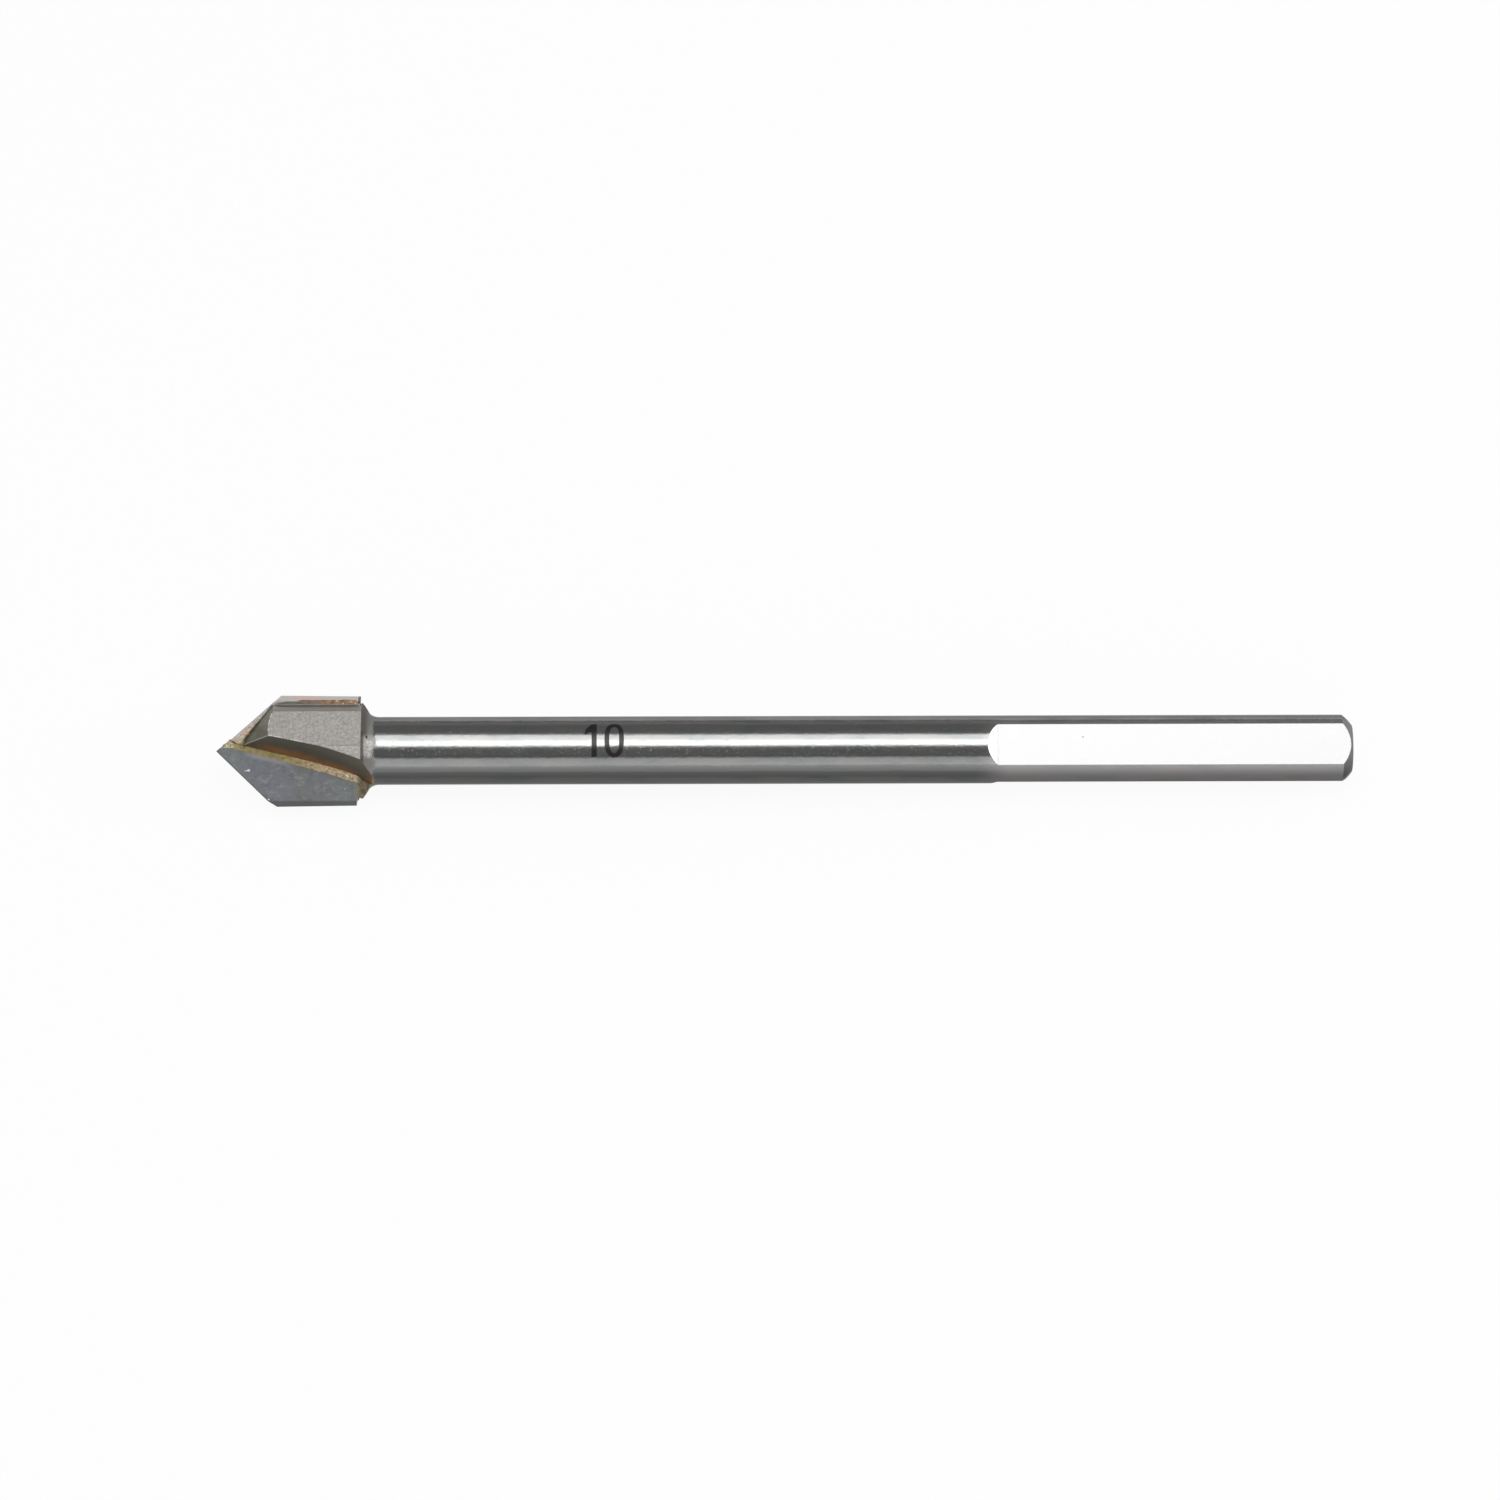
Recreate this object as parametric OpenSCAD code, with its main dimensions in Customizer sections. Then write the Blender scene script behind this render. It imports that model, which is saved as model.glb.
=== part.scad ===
// Glass and tile drill bit: a turned steel body with a slotted, fluted head,
// and a spear-shaped carbide plate brazed across the slot.
// The bit is drawn along X with its point at zero, Y across the plate's width
// and Z across its thickness, and is then laid down as it comes to rest.

/* [Shank] */
// Length from the point to the shank's end
overall_l = 100; // [80:1:150]
// Diameter of the shank
shank_d = 6; // [5:0.1:7]
// Bevel at the shank's end, along the axis and across it alike
end_bevel = 0.9; // [0.2:0.1:1.4]
// Radius of the slight crown on that bevel
bevel_crown = 4; // [2:0.1:10]
// Number of driving flats round the shank
flat_count = 3; // [2:1:4]
// Length of the driving flats, from the shank's end
flat_l = 32.2; // [15:0.1:40]
// Depth of each flat below the round of the shank
flat_depth = 0.62; // [0.2:0.02:0.8]
// Length of the slope where a flat runs out into the round
flat_runout = 0.9; // [0.3:0.1:3]
// Turn of the first flat from the plate's thickness
flat_turn = 10; // [0:1:119]

/* [Head] */
// Clearance between the turned head and the hole that the bit cuts
head_clearance = 0.85; // [0.7:0.05:1.3]
// Length of the head's round behind the middle of the plate
heel_l = 0.3; // [0.1:0.05:2]
// Slope of the rear bevel to the axis
rear_slope = 54; // [35:1:70]
// Radius of the fillet between the rear bevel and the shank
neck_fillet = 1.2; // [0.3:0.1:2]
// Full angle of the turned nose
nose_angle = 95.2; // [84:0.2:104]
// Distance of the nose's apex behind the point
nose_setback = 1.24; // [0.6:0.02:1.6]
// Lean of the flat on each prong from the plate's thickness
facet_lean = 32; // [20:1:40]
// Depth of that flat below the round of the head
facet_depth = 0.4; // [0.2:0.02:0.6]

/* [Flutes] */
// Diameter of the wheel that cuts each flute
flute_wheel_d = 200; // [120:5:300]
// Lean of the wheel's axis from the plate's thickness
flute_lean = 30; // [15:1:40]
// Distance behind the point at which the flute's wall crosses the axis
flute_start = 1.78; // [1.2:0.02:2.4]
// Slope of the wall to the axis there
flute_slope = 10.6; // [8:0.2:13]
// Drop of the flute's floor below the face of the plate
flute_drop = 0.15; // [0.05:0.05:0.4]

/* [Carbide plate] */
// Cutting diameter across the plate's margins
cutting_d = 10; // [9.4:0.1:12]
// Thickness of the plate
plate_t = 2; // [1.4:0.1:2.6]
// Length of the plate along the axis
plate_l = 12.5; // [9:0.1:18]
// Full angle of the point
point_angle = 85.2; // [75:0.2:95]
// Lean of the ground point off the axis
point_lean = 1.5; // [-3:0.1:3]
// Taper of each margin towards the rear
back_taper = 0.7; // [0:0.1:1.5]
// Relief behind the cutting edges
flank_relief = 7; // [4:1:12]
// Relief behind the margins
margin_relief = 13; // [4:1:14]
// Length of each cutting edge that is left unrelieved at the point
centre_l = 1.6; // [0.6:0.1:2.5]
// Length of the worn stretch at the outer end of the lower cutting edge
corner_l = 0.73; // [0.2:0.01:1.5]
// Slope of that worn stretch to the axis
corner_slope = 32; // [20:1:40]
// Skew of the plate's rear edge from square
rear_skew = 1.9; // [0:0.1:3]

/* [Braze] */
// Thickness of the braze between the plate and the slot
braze_gap = 0.1; // [0.05:0.01:0.2]
// Width of the bead on the plate along the foot of the flute's wall
bead_w = 0.6; // [0.3:0.05:0.9]
// Height of that bead
bead_h = 0.36; // [0.15:0.01:0.5]
// Width of the seam beside the head along each margin
seam_w = 0.25; // [0.1:0.01:0.3]
// Height of that seam
seam_h = 0.2; // [0.1:0.01:0.4]

/* [Hidden] */
$fn = 96;
wheel_fn = 720; // a wheel is far larger than the cut that it leaves
shank_r = shank_d / 2;
head_r = cutting_d / 2 - head_clearance;
head_l = plate_l + heel_l;
wheel_r = flute_wheel_d / 2;
wheel_lead = wheel_r * sin(flute_slope) - flute_start; // centre of the wheel ahead of the point
wheel_depth = wheel_r * (1 - cos(flute_slope)); // its rim past the axis at its deepest
plate_face = plate_t / 2;
slot_face = plate_face + braze_gap;
reach = 2 * cutting_d; // longer than anything across the bit
sides = [0, 180]; // the bit repeats at half a turn about its axis

// Half the plate's width at its rake face, where the margins meet the cutting diameter
edge_w = sqrt(pow(cutting_d / 2, 2) - pow(plate_face, 2));
function edge_angle(side) = point_angle / 2 - side * point_lean;
function edge_x(side) = edge_w / tan(edge_angle(side));
function margin_w(side, x) = edge_w - (x - edge_x(side)) * tan(back_taper);
// Corner between a margin and the skewed rear edge
function rear_w(side) = margin_w(side, plate_l) / (1 + side * tan(rear_skew) * tan(back_taper));
function rear_x(side) = plate_l + side * rear_w(side) * tan(rear_skew);
slot_l = rear_x(1) + braze_gap;

// Points along the turned profile
nose_l = nose_setback + head_r / tan(nose_angle / 2);
bevel_l = (head_r - shank_r) / tan(rear_slope);
neck_x = head_l + bevel_l;
fillet_run = neck_fillet * tan(rear_slope / 2);
end_r = shank_r - end_bevel;
crown_set = end_bevel / 2 + sqrt(pow(bevel_crown, 2) / 2 - pow(end_bevel, 2) / 4);
flat_x = overall_l - flat_l;
flat_r = shank_r - flat_depth;

// The bead's face is cut by a larger wheel that leans further,
// so that it keeps its width along the curved foot of the flute
bead_lean = atan(tan(flute_lean) + bead_w / bead_h);
bead_wheel_r = wheel_r * cos(flute_lean) / cos(bead_lean);
// Reach of a leaning wheel that meets the plate's face at y
function wheel_reach(lean, y) = y * cos(lean) - plate_face * sin(lean);
foot_y = (plate_face * sin(flute_lean) + wheel_depth) / cos(flute_lean);
// The bead starts where the nose stands on the plate, and the seam behind the ground flank
bead_x = nose_setback + plate_face / tan(nose_angle / 2) - braze_gap;
bead_root = bead_w / 4; // reach of the filler past the flute's wall, under the bead
seam_x = edge_x(1) + plate_t * tan(flank_relief) / sin(edge_angle(1));

// At rest the flat of the far prong and the shank's end touch the ground
facet_r = head_r - facet_depth;
facet_end_x = head_l + facet_depth / tan(rear_slope);
flat_half = acos(flat_r / shank_r);
flat_pitch = 360 / flat_count;
ground_turn = facet_lean + 180 - flat_turn;
ground_to_flat = abs(ground_turn - flat_pitch * round(ground_turn / flat_pitch));
shank_rest_r = shank_r * cos(max(0, flat_half - ground_to_flat));
rest_slope = min((facet_r - shank_r) / (flat_x - facet_end_x),
                 (facet_r - shank_rest_r) / (overall_l - end_bevel - facet_end_x));
rest_tilt = atan(rest_slope);
rest_mid_x = (overall_l * cos(rest_tilt) + end_r * sin(rest_tilt)) / 2;
rest_z = facet_end_x * sin(rest_tilt) + facet_r * cos(rest_tilt);

module at_rest()
{
    translate([-rest_mid_x, 0, rest_z])
        rotate([0, rest_tilt, 0])
            rotate([facet_lean, 0, 0])
                children();
}

// Half of the turned section, with the axis upright
module turned_profile()
{
    difference() {
        polygon([
            [0, nose_setback],
            [head_r, nose_l],
            [head_r, head_l],
            [shank_r + fillet_run * sin(rear_slope), neck_x - fillet_run * cos(rear_slope)],
            [shank_r + fillet_run * sin(rear_slope), neck_x + fillet_run],
            [shank_r, neck_x + fillet_run],
            [shank_r, overall_l],
            [0, overall_l]
        ]);
        translate([shank_r + neck_fillet, neck_x + fillet_run])
            circle(r = neck_fillet);
        difference() {
            translate([end_r, overall_l - end_bevel])
                square(2 * end_bevel);
            translate([shank_r - crown_set, overall_l - crown_set])
                circle(r = bevel_crown);
        }
    }
}

module turned_blank()
{
    rotate([0, 90, 0])
        rotate_extrude()
            turned_profile();
}

// A grinding wheel that leans over the plate, with its rim y_reach past the bit's axis at its deepest
module wheel(r, lean, y_reach)
{
    rotate([-lean, 0, 0])
        translate([-wheel_lead, y_reach - r, 0])
            cylinder(r = r, h = 2 * reach, center = true, $fn = wheel_fn);
}

// Space that a flute takes, or that stops short of its wall
module flute_cut(short = 0)
{
    intersection() {
        wheel(wheel_r, flute_lean, wheel_depth - short);
        translate([-reach, -reach, plate_face - flute_drop])
            cube([overall_l, 2 * reach, reach]);
    }
}

module slot_space()
{
    translate([-reach, -reach, -slot_face])
        cube([reach + slot_l, 2 * reach, 2 * slot_face]);
}

module facet_cut()
{
    rotate([-facet_lean, 0, 0])
        translate([0, -reach / 2, facet_r])
            cube([neck_x, reach, reach]);
}

module shank_flat_cut()
{
    rotate([90, 0, 0])
        linear_extrude(height = shank_d, center = true)
            polygon([
                [flat_x, shank_r],
                [flat_x + flat_runout, flat_r],
                [overall_l + shank_r, flat_r],
                [overall_l + shank_r, shank_d],
                [flat_x, shank_d]
            ]);
}

// Turned from one bar, then slotted, fluted and flatted
module drill_body()
{
    color("#a3a4a6")
        at_rest()
            difference() {
                turned_blank();
                slot_space();
                for (turn = sides)
                    rotate([turn, 0, 0]) {
                        flute_cut();
                        facet_cut();
                    }
                for (i = [0 : flat_count - 1])
                    rotate([-flat_turn - i * flat_pitch, 0, 0])
                        shank_flat_cut();
            }
}

module plate_outline()
{
    corner = [edge_x(-1) - corner_l * cos(edge_angle(-1)), edge_w - corner_l * sin(edge_angle(-1))];
    corner_end_x = corner.x + corner_l * sin(edge_angle(-1)) / tan(corner_slope);
    polygon([
        [0, 0],
        [edge_x(1), edge_w],
        [rear_x(1), rear_w(1)],
        [rear_x(-1), -rear_w(-1)],
        [corner_end_x, -margin_w(-1, corner_end_x)],
        [corner.x, -corner.y]
    ]);
}

// Space behind an edge that runs along X on the plate's upper face
module relief_cut(relief, from_x)
{
    translate([from_x, 0, plate_face])
        rotate([relief, 0, 0])
            translate([0, -plate_t, -reach])
                cube([reach, plate_t, 2 * reach]);
}

module plate_solid()
{
    difference() {
        linear_extrude(height = plate_t, center = true)
            plate_outline();
        for (side = [-1, 1])
            rotate([side < 0 ? 0 : 180, 0, 0]) {
                rotate([0, 0, -edge_angle(side)])
                    relief_cut(flank_relief, centre_l);
                translate([edge_x(side), -edge_w, 0])
                    rotate([0, 0, back_taper])
                        relief_cut(margin_relief, -plate_t);
            }
    }
}

// One pressed and sintered plate, ground to its edges after brazing
module carbide_plate()
{
    color("#6c6f74")
        at_rest()
            plate_solid();
}

// Everything ahead of the plate's rear edge, as thick as the plate
module plate_space()
{
    skew_run = reach * tan(rear_skew);
    linear_extrude(height = plate_t, center = true)
        polygon([
            [-reach, -reach],
            [plate_l - skew_run, -reach],
            [plate_l + skew_run, reach],
            [-reach, reach]
        ]);
}

// Fillet of braze in the corner between the flute's wall and the plate
module bead()
{
    intersection() {
        difference() {
            wheel(wheel_r, flute_lean, wheel_depth);
            wheel(bead_wheel_r, bead_lean, wheel_reach(bead_lean, foot_y - bead_w));
        }
        translate([bead_x, -reach, plate_face])
            cube([rear_x(-1) - bead_x, 2 * reach, reach]);
    }
}

// Strip of braze on the plate's trailing face, along the round of the head
module seam()
{
    difference() {
        intersection() {
            rotate([0, 90, 0])
                cylinder(r = head_r + seam_w, h = plate_l);
            translate([seam_x, 0, plate_face])
                cube([rear_x(-1) - seam_x, reach, seam_h]);
        }
        turned_blank();
    }
}

// Filler that ran through the slot and set round the plate
module braze()
{
    color("#b59a58")
        at_rest()
            union() {
                difference() {
                    intersection() {
                        turned_blank();
                        slot_space();
                    }
                    plate_space();
                    for (turn = sides)
                        rotate([turn, 0, 0])
                            flute_cut(bead_root);
                }
                for (turn = sides)
                    rotate([turn, 0, 0]) {
                        bead();
                        seam();
                    }
            }
}

drill_body();
carbide_plate();
braze();
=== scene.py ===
import bpy
import bmesh
import math
from mathutils import Matrix, Vector, noise


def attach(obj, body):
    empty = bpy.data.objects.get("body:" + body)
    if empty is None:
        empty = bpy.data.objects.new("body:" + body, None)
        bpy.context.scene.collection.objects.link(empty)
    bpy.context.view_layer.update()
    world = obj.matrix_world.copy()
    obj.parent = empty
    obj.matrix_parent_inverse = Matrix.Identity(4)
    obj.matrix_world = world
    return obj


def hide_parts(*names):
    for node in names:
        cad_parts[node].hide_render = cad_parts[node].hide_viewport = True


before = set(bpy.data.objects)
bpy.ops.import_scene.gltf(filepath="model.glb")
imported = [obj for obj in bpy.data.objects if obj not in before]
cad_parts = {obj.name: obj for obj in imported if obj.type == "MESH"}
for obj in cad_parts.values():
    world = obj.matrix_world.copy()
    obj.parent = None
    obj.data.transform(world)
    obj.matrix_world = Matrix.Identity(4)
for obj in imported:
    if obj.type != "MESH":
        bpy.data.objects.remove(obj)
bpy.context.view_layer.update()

scene = bpy.context.scene
scene.view_settings.view_transform = "Standard"
print("frame loaded:", ", ".join(sorted(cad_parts)))

# The bit is worked on in millimetres, point at zero, x along it, y across the plate, z off its face.
# These lay it down the way the solids lie.
mm = 0.001
lie = {
    "lean": 32.0,
    "tilt": 0.4996,
    "middle": 50.00725,
    "height": 3.8640,
}
turnDown = (Matrix.Rotation(math.radians(lie["tilt"]), 4, "Y")
            @ Matrix.Rotation(math.radians(lie["lean"]), 4, "X"))
layDown = Matrix.Translation((-lie["middle"], 0, lie["height"])) @ turnDown
bitToRow = Matrix.Scale(mm, 4) @ layDown

# sizes of the head that several pieces lean on, as in the solids
head = {
    "plateFace": 1.0,
    "slotFace": 1.1,
    "headR": 4.15,
    "noseSetback": 1.24,
    "noseSlope": math.tan(math.radians(47.6)),
    "noseEnd": 5.03,
    "wheelR": 100.0,
    "wheelLean": math.radians(30),
    "wheelLead": 16.615,
    "wheelPast": 1.7065,
    "facetR": 3.75,
    "facetLean": math.radians(32),
    "plateRear": 12.5,
    "rearSkew": math.tan(math.radians(1.9)),
}


def footY(x):
    # where the flute's wall stands on the plate
    lead = x + head["wheelLead"]
    reach = math.sqrt(head["wheelR"] ** 2 - lead ** 2) - head["wheelR"] + head["wheelPast"]
    return (head["plateFace"] * math.sin(head["wheelLean"]) + reach) / math.cos(head["wheelLean"])


def noseR(x):
    return (x - head["noseSetback"]) * head["noseSlope"]


def noseY(x):
    # where the nose stands on the plate
    return math.sqrt(max(noseR(x) ** 2 - head["plateFace"] ** 2, 0.0001))


def rearX(y):
    return head["plateRear"] + y * head["rearSkew"]


def wire(tree, value, socket):
    if isinstance(value, bpy.types.NodeSocket):
        tree.links.new(value, socket)
    elif isinstance(value, (tuple, list)) and len(socket.default_value) == 4 and len(value) == 3:
        socket.default_value = (*value, 1.0)
    else:
        socket.default_value = value


def calc(tree, op, a, b=0.0):
    n = tree.nodes.new("ShaderNodeMath")
    n.operation = op
    wire(tree, a, n.inputs[0])
    wire(tree, b, n.inputs[1])
    return n.outputs[0]


def plus(tree, a, b):
    return calc(tree, "ADD", a, b)


def less(tree, a, b):
    return calc(tree, "SUBTRACT", a, b)


def most(tree, a, b):
    return calc(tree, "MAXIMUM", a, b)


def sizeOf(tree, a):
    return calc(tree, "ABSOLUTE", a)


def times(tree, *parts):
    out = parts[0]
    for p in parts[1:]:
        out = calc(tree, "MULTIPLY", out, p)
    return out


def reachOf(tree, a, b):
    # length of the way that goes a one way and b across it
    return calc(tree, "SQRT", plus(tree, calc(tree, "POWER", a, 2), calc(tree, "POWER", b, 2)))


def fade(tree, value, lo, hi, outLo=0.0, outHi=1.0):
    # smooth ramp from lo to hi, either way round
    n = tree.nodes.new("ShaderNodeMapRange")
    n.interpolation_type = "SMOOTHSTEP"
    wire(tree, value, n.inputs["Value"])
    wire(tree, lo, n.inputs["From Min"])
    wire(tree, hi, n.inputs["From Max"])
    wire(tree, outLo, n.inputs["To Min"])
    wire(tree, outHi, n.inputs["To Max"])
    return n.outputs["Result"]


def between(tree, value, lo, loIn, hiIn, hi):
    # 1 from loIn to hiIn, fading out to lo and hi
    return times(tree, fade(tree, value, lo, loIn), fade(tree, value, hi, hiIn))


def tint(tree, fac, a, b, how="MIX"):
    n = tree.nodes.new("ShaderNodeMix")
    n.data_type = "RGBA"
    n.blend_type = how
    n.clamp_factor = True
    wire(tree, fac, n.inputs[0])
    wire(tree, a, n.inputs[6])
    wire(tree, b, n.inputs[7])
    return n.outputs[2]


def cloud(tree, where, scale, detail=2.0, rough=0.5, warp=0.0):
    n = tree.nodes.new("ShaderNodeTexNoise")
    wire(tree, where, n.inputs["Vector"])
    n.inputs["Scale"].default_value = scale
    n.inputs["Detail"].default_value = detail
    n.inputs["Roughness"].default_value = rough
    n.inputs["Distortion"].default_value = warp
    return n.outputs["Fac"]


def shades(tree, value, stops):
    # grey that follows the stops, each a value and its shade
    lo, hi = stops[0][0], stops[-1][0]
    n = tree.nodes.new("ShaderNodeValToRGB")
    n.color_ramp.interpolation = "EASE"
    while len(n.color_ramp.elements) < len(stops):
        n.color_ramp.elements.new(1.0)
    for e, (at, shade) in zip(n.color_ramp.elements, stops):
        e.position = (at - lo) / (hi - lo)
        e.color = (shade, shade, shade, 1)
    wire(tree, calc(tree, "DIVIDE", less(tree, value, lo), hi - lo), n.inputs[0])
    return n.outputs[0]


def stretch(tree, where, size, shift=(0, 0, 0)):
    n = tree.nodes.new("ShaderNodeMapping")
    wire(tree, where, n.inputs["Vector"])
    n.inputs["Scale"].default_value = size
    n.inputs["Location"].default_value = shift
    return n.outputs[0]


def near(tree, where, spot, inner, outer):
    # 1 round a spot, fading out
    n = tree.nodes.new("ShaderNodeVectorMath")
    n.operation = "DISTANCE"
    wire(tree, where, n.inputs[0])
    n.inputs[1].default_value = spot
    return fade(tree, n.outputs["Value"], outer, inner)


def alongLine(tree, x, y, a, b, inner, outer):
    # 1 along a line from a to b on the plate, fading out to its sides
    span = math.dist(a, b)
    ux, uy = (b[0] - a[0]) / span, (b[1] - a[1]) / span
    dx, dy = less(tree, x, a[0]), less(tree, y, a[1])
    t = plus(tree, times(tree, dx, ux), times(tree, dy, uy))
    t = calc(tree, "MINIMUM", most(tree, t, 0.0), span)
    ex = less(tree, dx, times(tree, t, ux))
    ey = less(tree, dy, times(tree, t, uy))
    return fade(tree, reachOf(tree, ex, ey), outer, inner)


def wheelGap(tree, x, w, z):
    # how far a place lies outside the wall of the flute on its own side
    lean = head["wheelLean"]
    across = less(tree, times(tree, w, math.cos(lean)), times(tree, sizeOf(tree, z), math.sin(lean)))
    lead = plus(tree, x, head["wheelLead"])
    reach = plus(tree, across, head["wheelR"] - head["wheelPast"])
    return less(tree, reachOf(tree, lead, reach), head["wheelR"])


def noseGap(tree, x, r):
    # how far a place at radius r lies inside the nose
    return less(tree, times(tree, less(tree, x, head["noseSetback"]), head["noseSlope"]), r)


def fromRear(tree, x, y):
    # x as if the plate's rear edge were square to the bit
    return less(tree, x, times(tree, y, head["rearSkew"]))


def relief(tree, height, depth, under=None):
    n = tree.nodes.new("ShaderNodeBump")
    n.inputs["Strength"].default_value = 1.0
    n.inputs["Distance"].default_value = depth * mm
    wire(tree, height, n.inputs["Height"])
    if under is not None:
        wire(tree, under, n.inputs["Normal"])
    return n.outputs[0]


def softEdges(tree, radius):
    n = tree.nodes.new("ShaderNodeBevel")
    n.samples = 6
    n.inputs["Radius"].default_value = radius * mm
    return n.outputs[0]


def newFinish(name):
    mat = bpy.data.materials.new(name)
    mat.use_nodes = True
    tree = mat.node_tree
    tree.nodes.clear()
    out = tree.nodes.new("ShaderNodeOutputMaterial")
    bsdf = tree.nodes.new("ShaderNodeBsdfPrincipled")
    tree.links.new(bsdf.outputs[0], out.inputs[0])
    return mat, tree, bsdf


def bitSpace(tree):
    # place on the bit in millimetres
    coord = tree.nodes.new("ShaderNodeTexCoord")
    back = turnDown.inverted()
    n = tree.nodes.new("ShaderNodeMapping")
    tree.links.new(coord.outputs["Object"], n.inputs["Vector"])
    n.inputs["Scale"].default_value = (1 / mm,) * 3
    n.inputs["Rotation"].default_value = back.to_euler("XYZ")
    n.inputs["Location"].default_value = back @ Vector((lie["middle"], 0, -lie["height"]))
    parts = tree.nodes.new("ShaderNodeSeparateXYZ")
    tree.links.new(n.outputs[0], parts.inputs[0])
    return n.outputs[0], parts.outputs[0], parts.outputs[1], parts.outputs[2]


def joined(tree, x, y, z):
    n = tree.nodes.new("ShaderNodeCombineXYZ")
    for value, socket in zip((x, y, z), n.inputs):
        wire(tree, value, socket)
    return n.outputs[0]


def trailing(tree, y, z):
    # y as it is on the near side and turned over on the far one, since the bit repeats at half a turn
    return times(tree, y, calc(tree, "SIGN", z))


# the steel body: ground shank, blasted head, ground nose and flutes
steel = {
    "shank": (0.609, 0.609, 0.597),
    "shankStain": (0.524, 0.553, 0.542),
    # how bright the shank is across its width, ahead of the flats and beside them: its polish with painted
    # reflection bands, darkest low down
    "polishAndReflection": [(-3.0, 0.186), (-2.6, 0.174), (-2.3, 0.136), (-2.0, 0.165), (-1.75, 0.29),
               (-1.4, 0.38), (-0.6, 0.33), (-0.3, 0.50), (2.1, 0.50), (2.4, 0.73), (2.7, 0.43),
               (3.0, 0.295)],
    "polishAndReflectionRear": [(-3.0, 0.217), (-2.5, 0.248), (-1.3, 0.58), (-0.5, 0.7), (1.8, 0.95),
                   (2.4, 0.9), (2.8, 0.34), (3.0, 0.30)],
    "flat": (0.272, 0.270, 0.271),
    "warm": (1.0, 0.95, 0.965),
    "endBevel": (0.46, 0.46, 0.46),
    "facet": (0.579, 0.559, 0.532),
    "facetDark": (0.405, 0.389, 0.370),
    "glint": (0.920, 0.920, 0.920),
    "scuff": (0.214, 0.203, 0.186),
    "round": (0.429, 0.412, 0.375),
    "nose": (0.191, 0.189, 0.153),
    "noseDark": (0.151, 0.149, 0.113),
    "flute": (0.150, 0.138, 0.110),
    "burnt": (0.446, 0.212, 0.090),
    "flash": (0.410, 0.193, 0.085),
    "olive": (0.250, 0.192, 0.094),
    # the collar's painted shade on top, its bright grit as a painted highlight, and its painted shade below
    "collarTopShade": (0.153, 0.145, 0.138),
    "collar": (0.670, 0.655, 0.640),
    "collarDull": (0.390, 0.380, 0.366),
    "collarLowShade": (0.287, 0.273, 0.257),
    "groove": (0.086, 0.079, 0.071),
    # places of single marks
    "speckAt": (76.2, 1.07, 2.23),
    "pitAt": (13.33, 1.23, 3.22),
    "flashAt": (13.45, -2.45, 1.15),
    # where a finish comes in or ends along the bit, from and to
    "noseEnds": (5.08, 5.04),
    "collarStarts": (12.78, 12.84),
    "headEnds": (13.86, 13.58),
    "fluteEnds": (14.6, 14.4),
    "rearStarts": (66.6, 70.0),
    "warmStarts": (66.0, 70.0),
    "flatsStart": (68.4, 68.7),
    "bevelStarts": (99.08, 99.14),
    # radii, and how the flats are turned
    "bevelR": (2.1, 2.16),
    "roundR": (4.10, 4.13),
    "flatR": 2.38,
    "flatTurns": (10, 130, 250),
    # how close to a face a place counts as on it
    "facetSkin": (0.02, 0.008),
    "noseSkin": (0.05, 0.02),
    "wallSkin": (0.05, 0.025),
    "flatSkin": (0.03, 0.015),
    # clouds: scale, detail, roughness and warp
    "worm": (4.4, 2.5, 0.55, 0.8),
    "grit": (13.0, 2.0, 0.6),
    "haze": (0.9, 3),
    "streak": (1.0, 4, 0.6),
    "glints": (7.5, 1.0, 0.5),
    "scuffs": (6.5, 1.0, 0.5, 0.6),
    "patches": (1.4, 3, 0.6),
    "fine": (9.0, 2.0, 0.6),
    "pits": (6.5, 1.0, 0.5),
    "grinding": (4.5, 2, 0.6),
    # how deep the grinding and the blasting are, and how round the edges
    "grindingDeep": 0.007,
    "blastDeep": 0.03,
    "edgeR": 0.07,
}


def onFlats(tree, y, z):
    # 1 on the driving flats
    out = 0.0
    for turn in steel["flatTurns"]:
        a = math.radians(turn)
        d = plus(tree, times(tree, y, math.sin(a)), times(tree, z, math.cos(a)))
        off = sizeOf(tree, less(tree, d, steel["flatR"]))
        out = most(tree, out, fade(tree, off, *steel["flatSkin"]))
    return out


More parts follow.
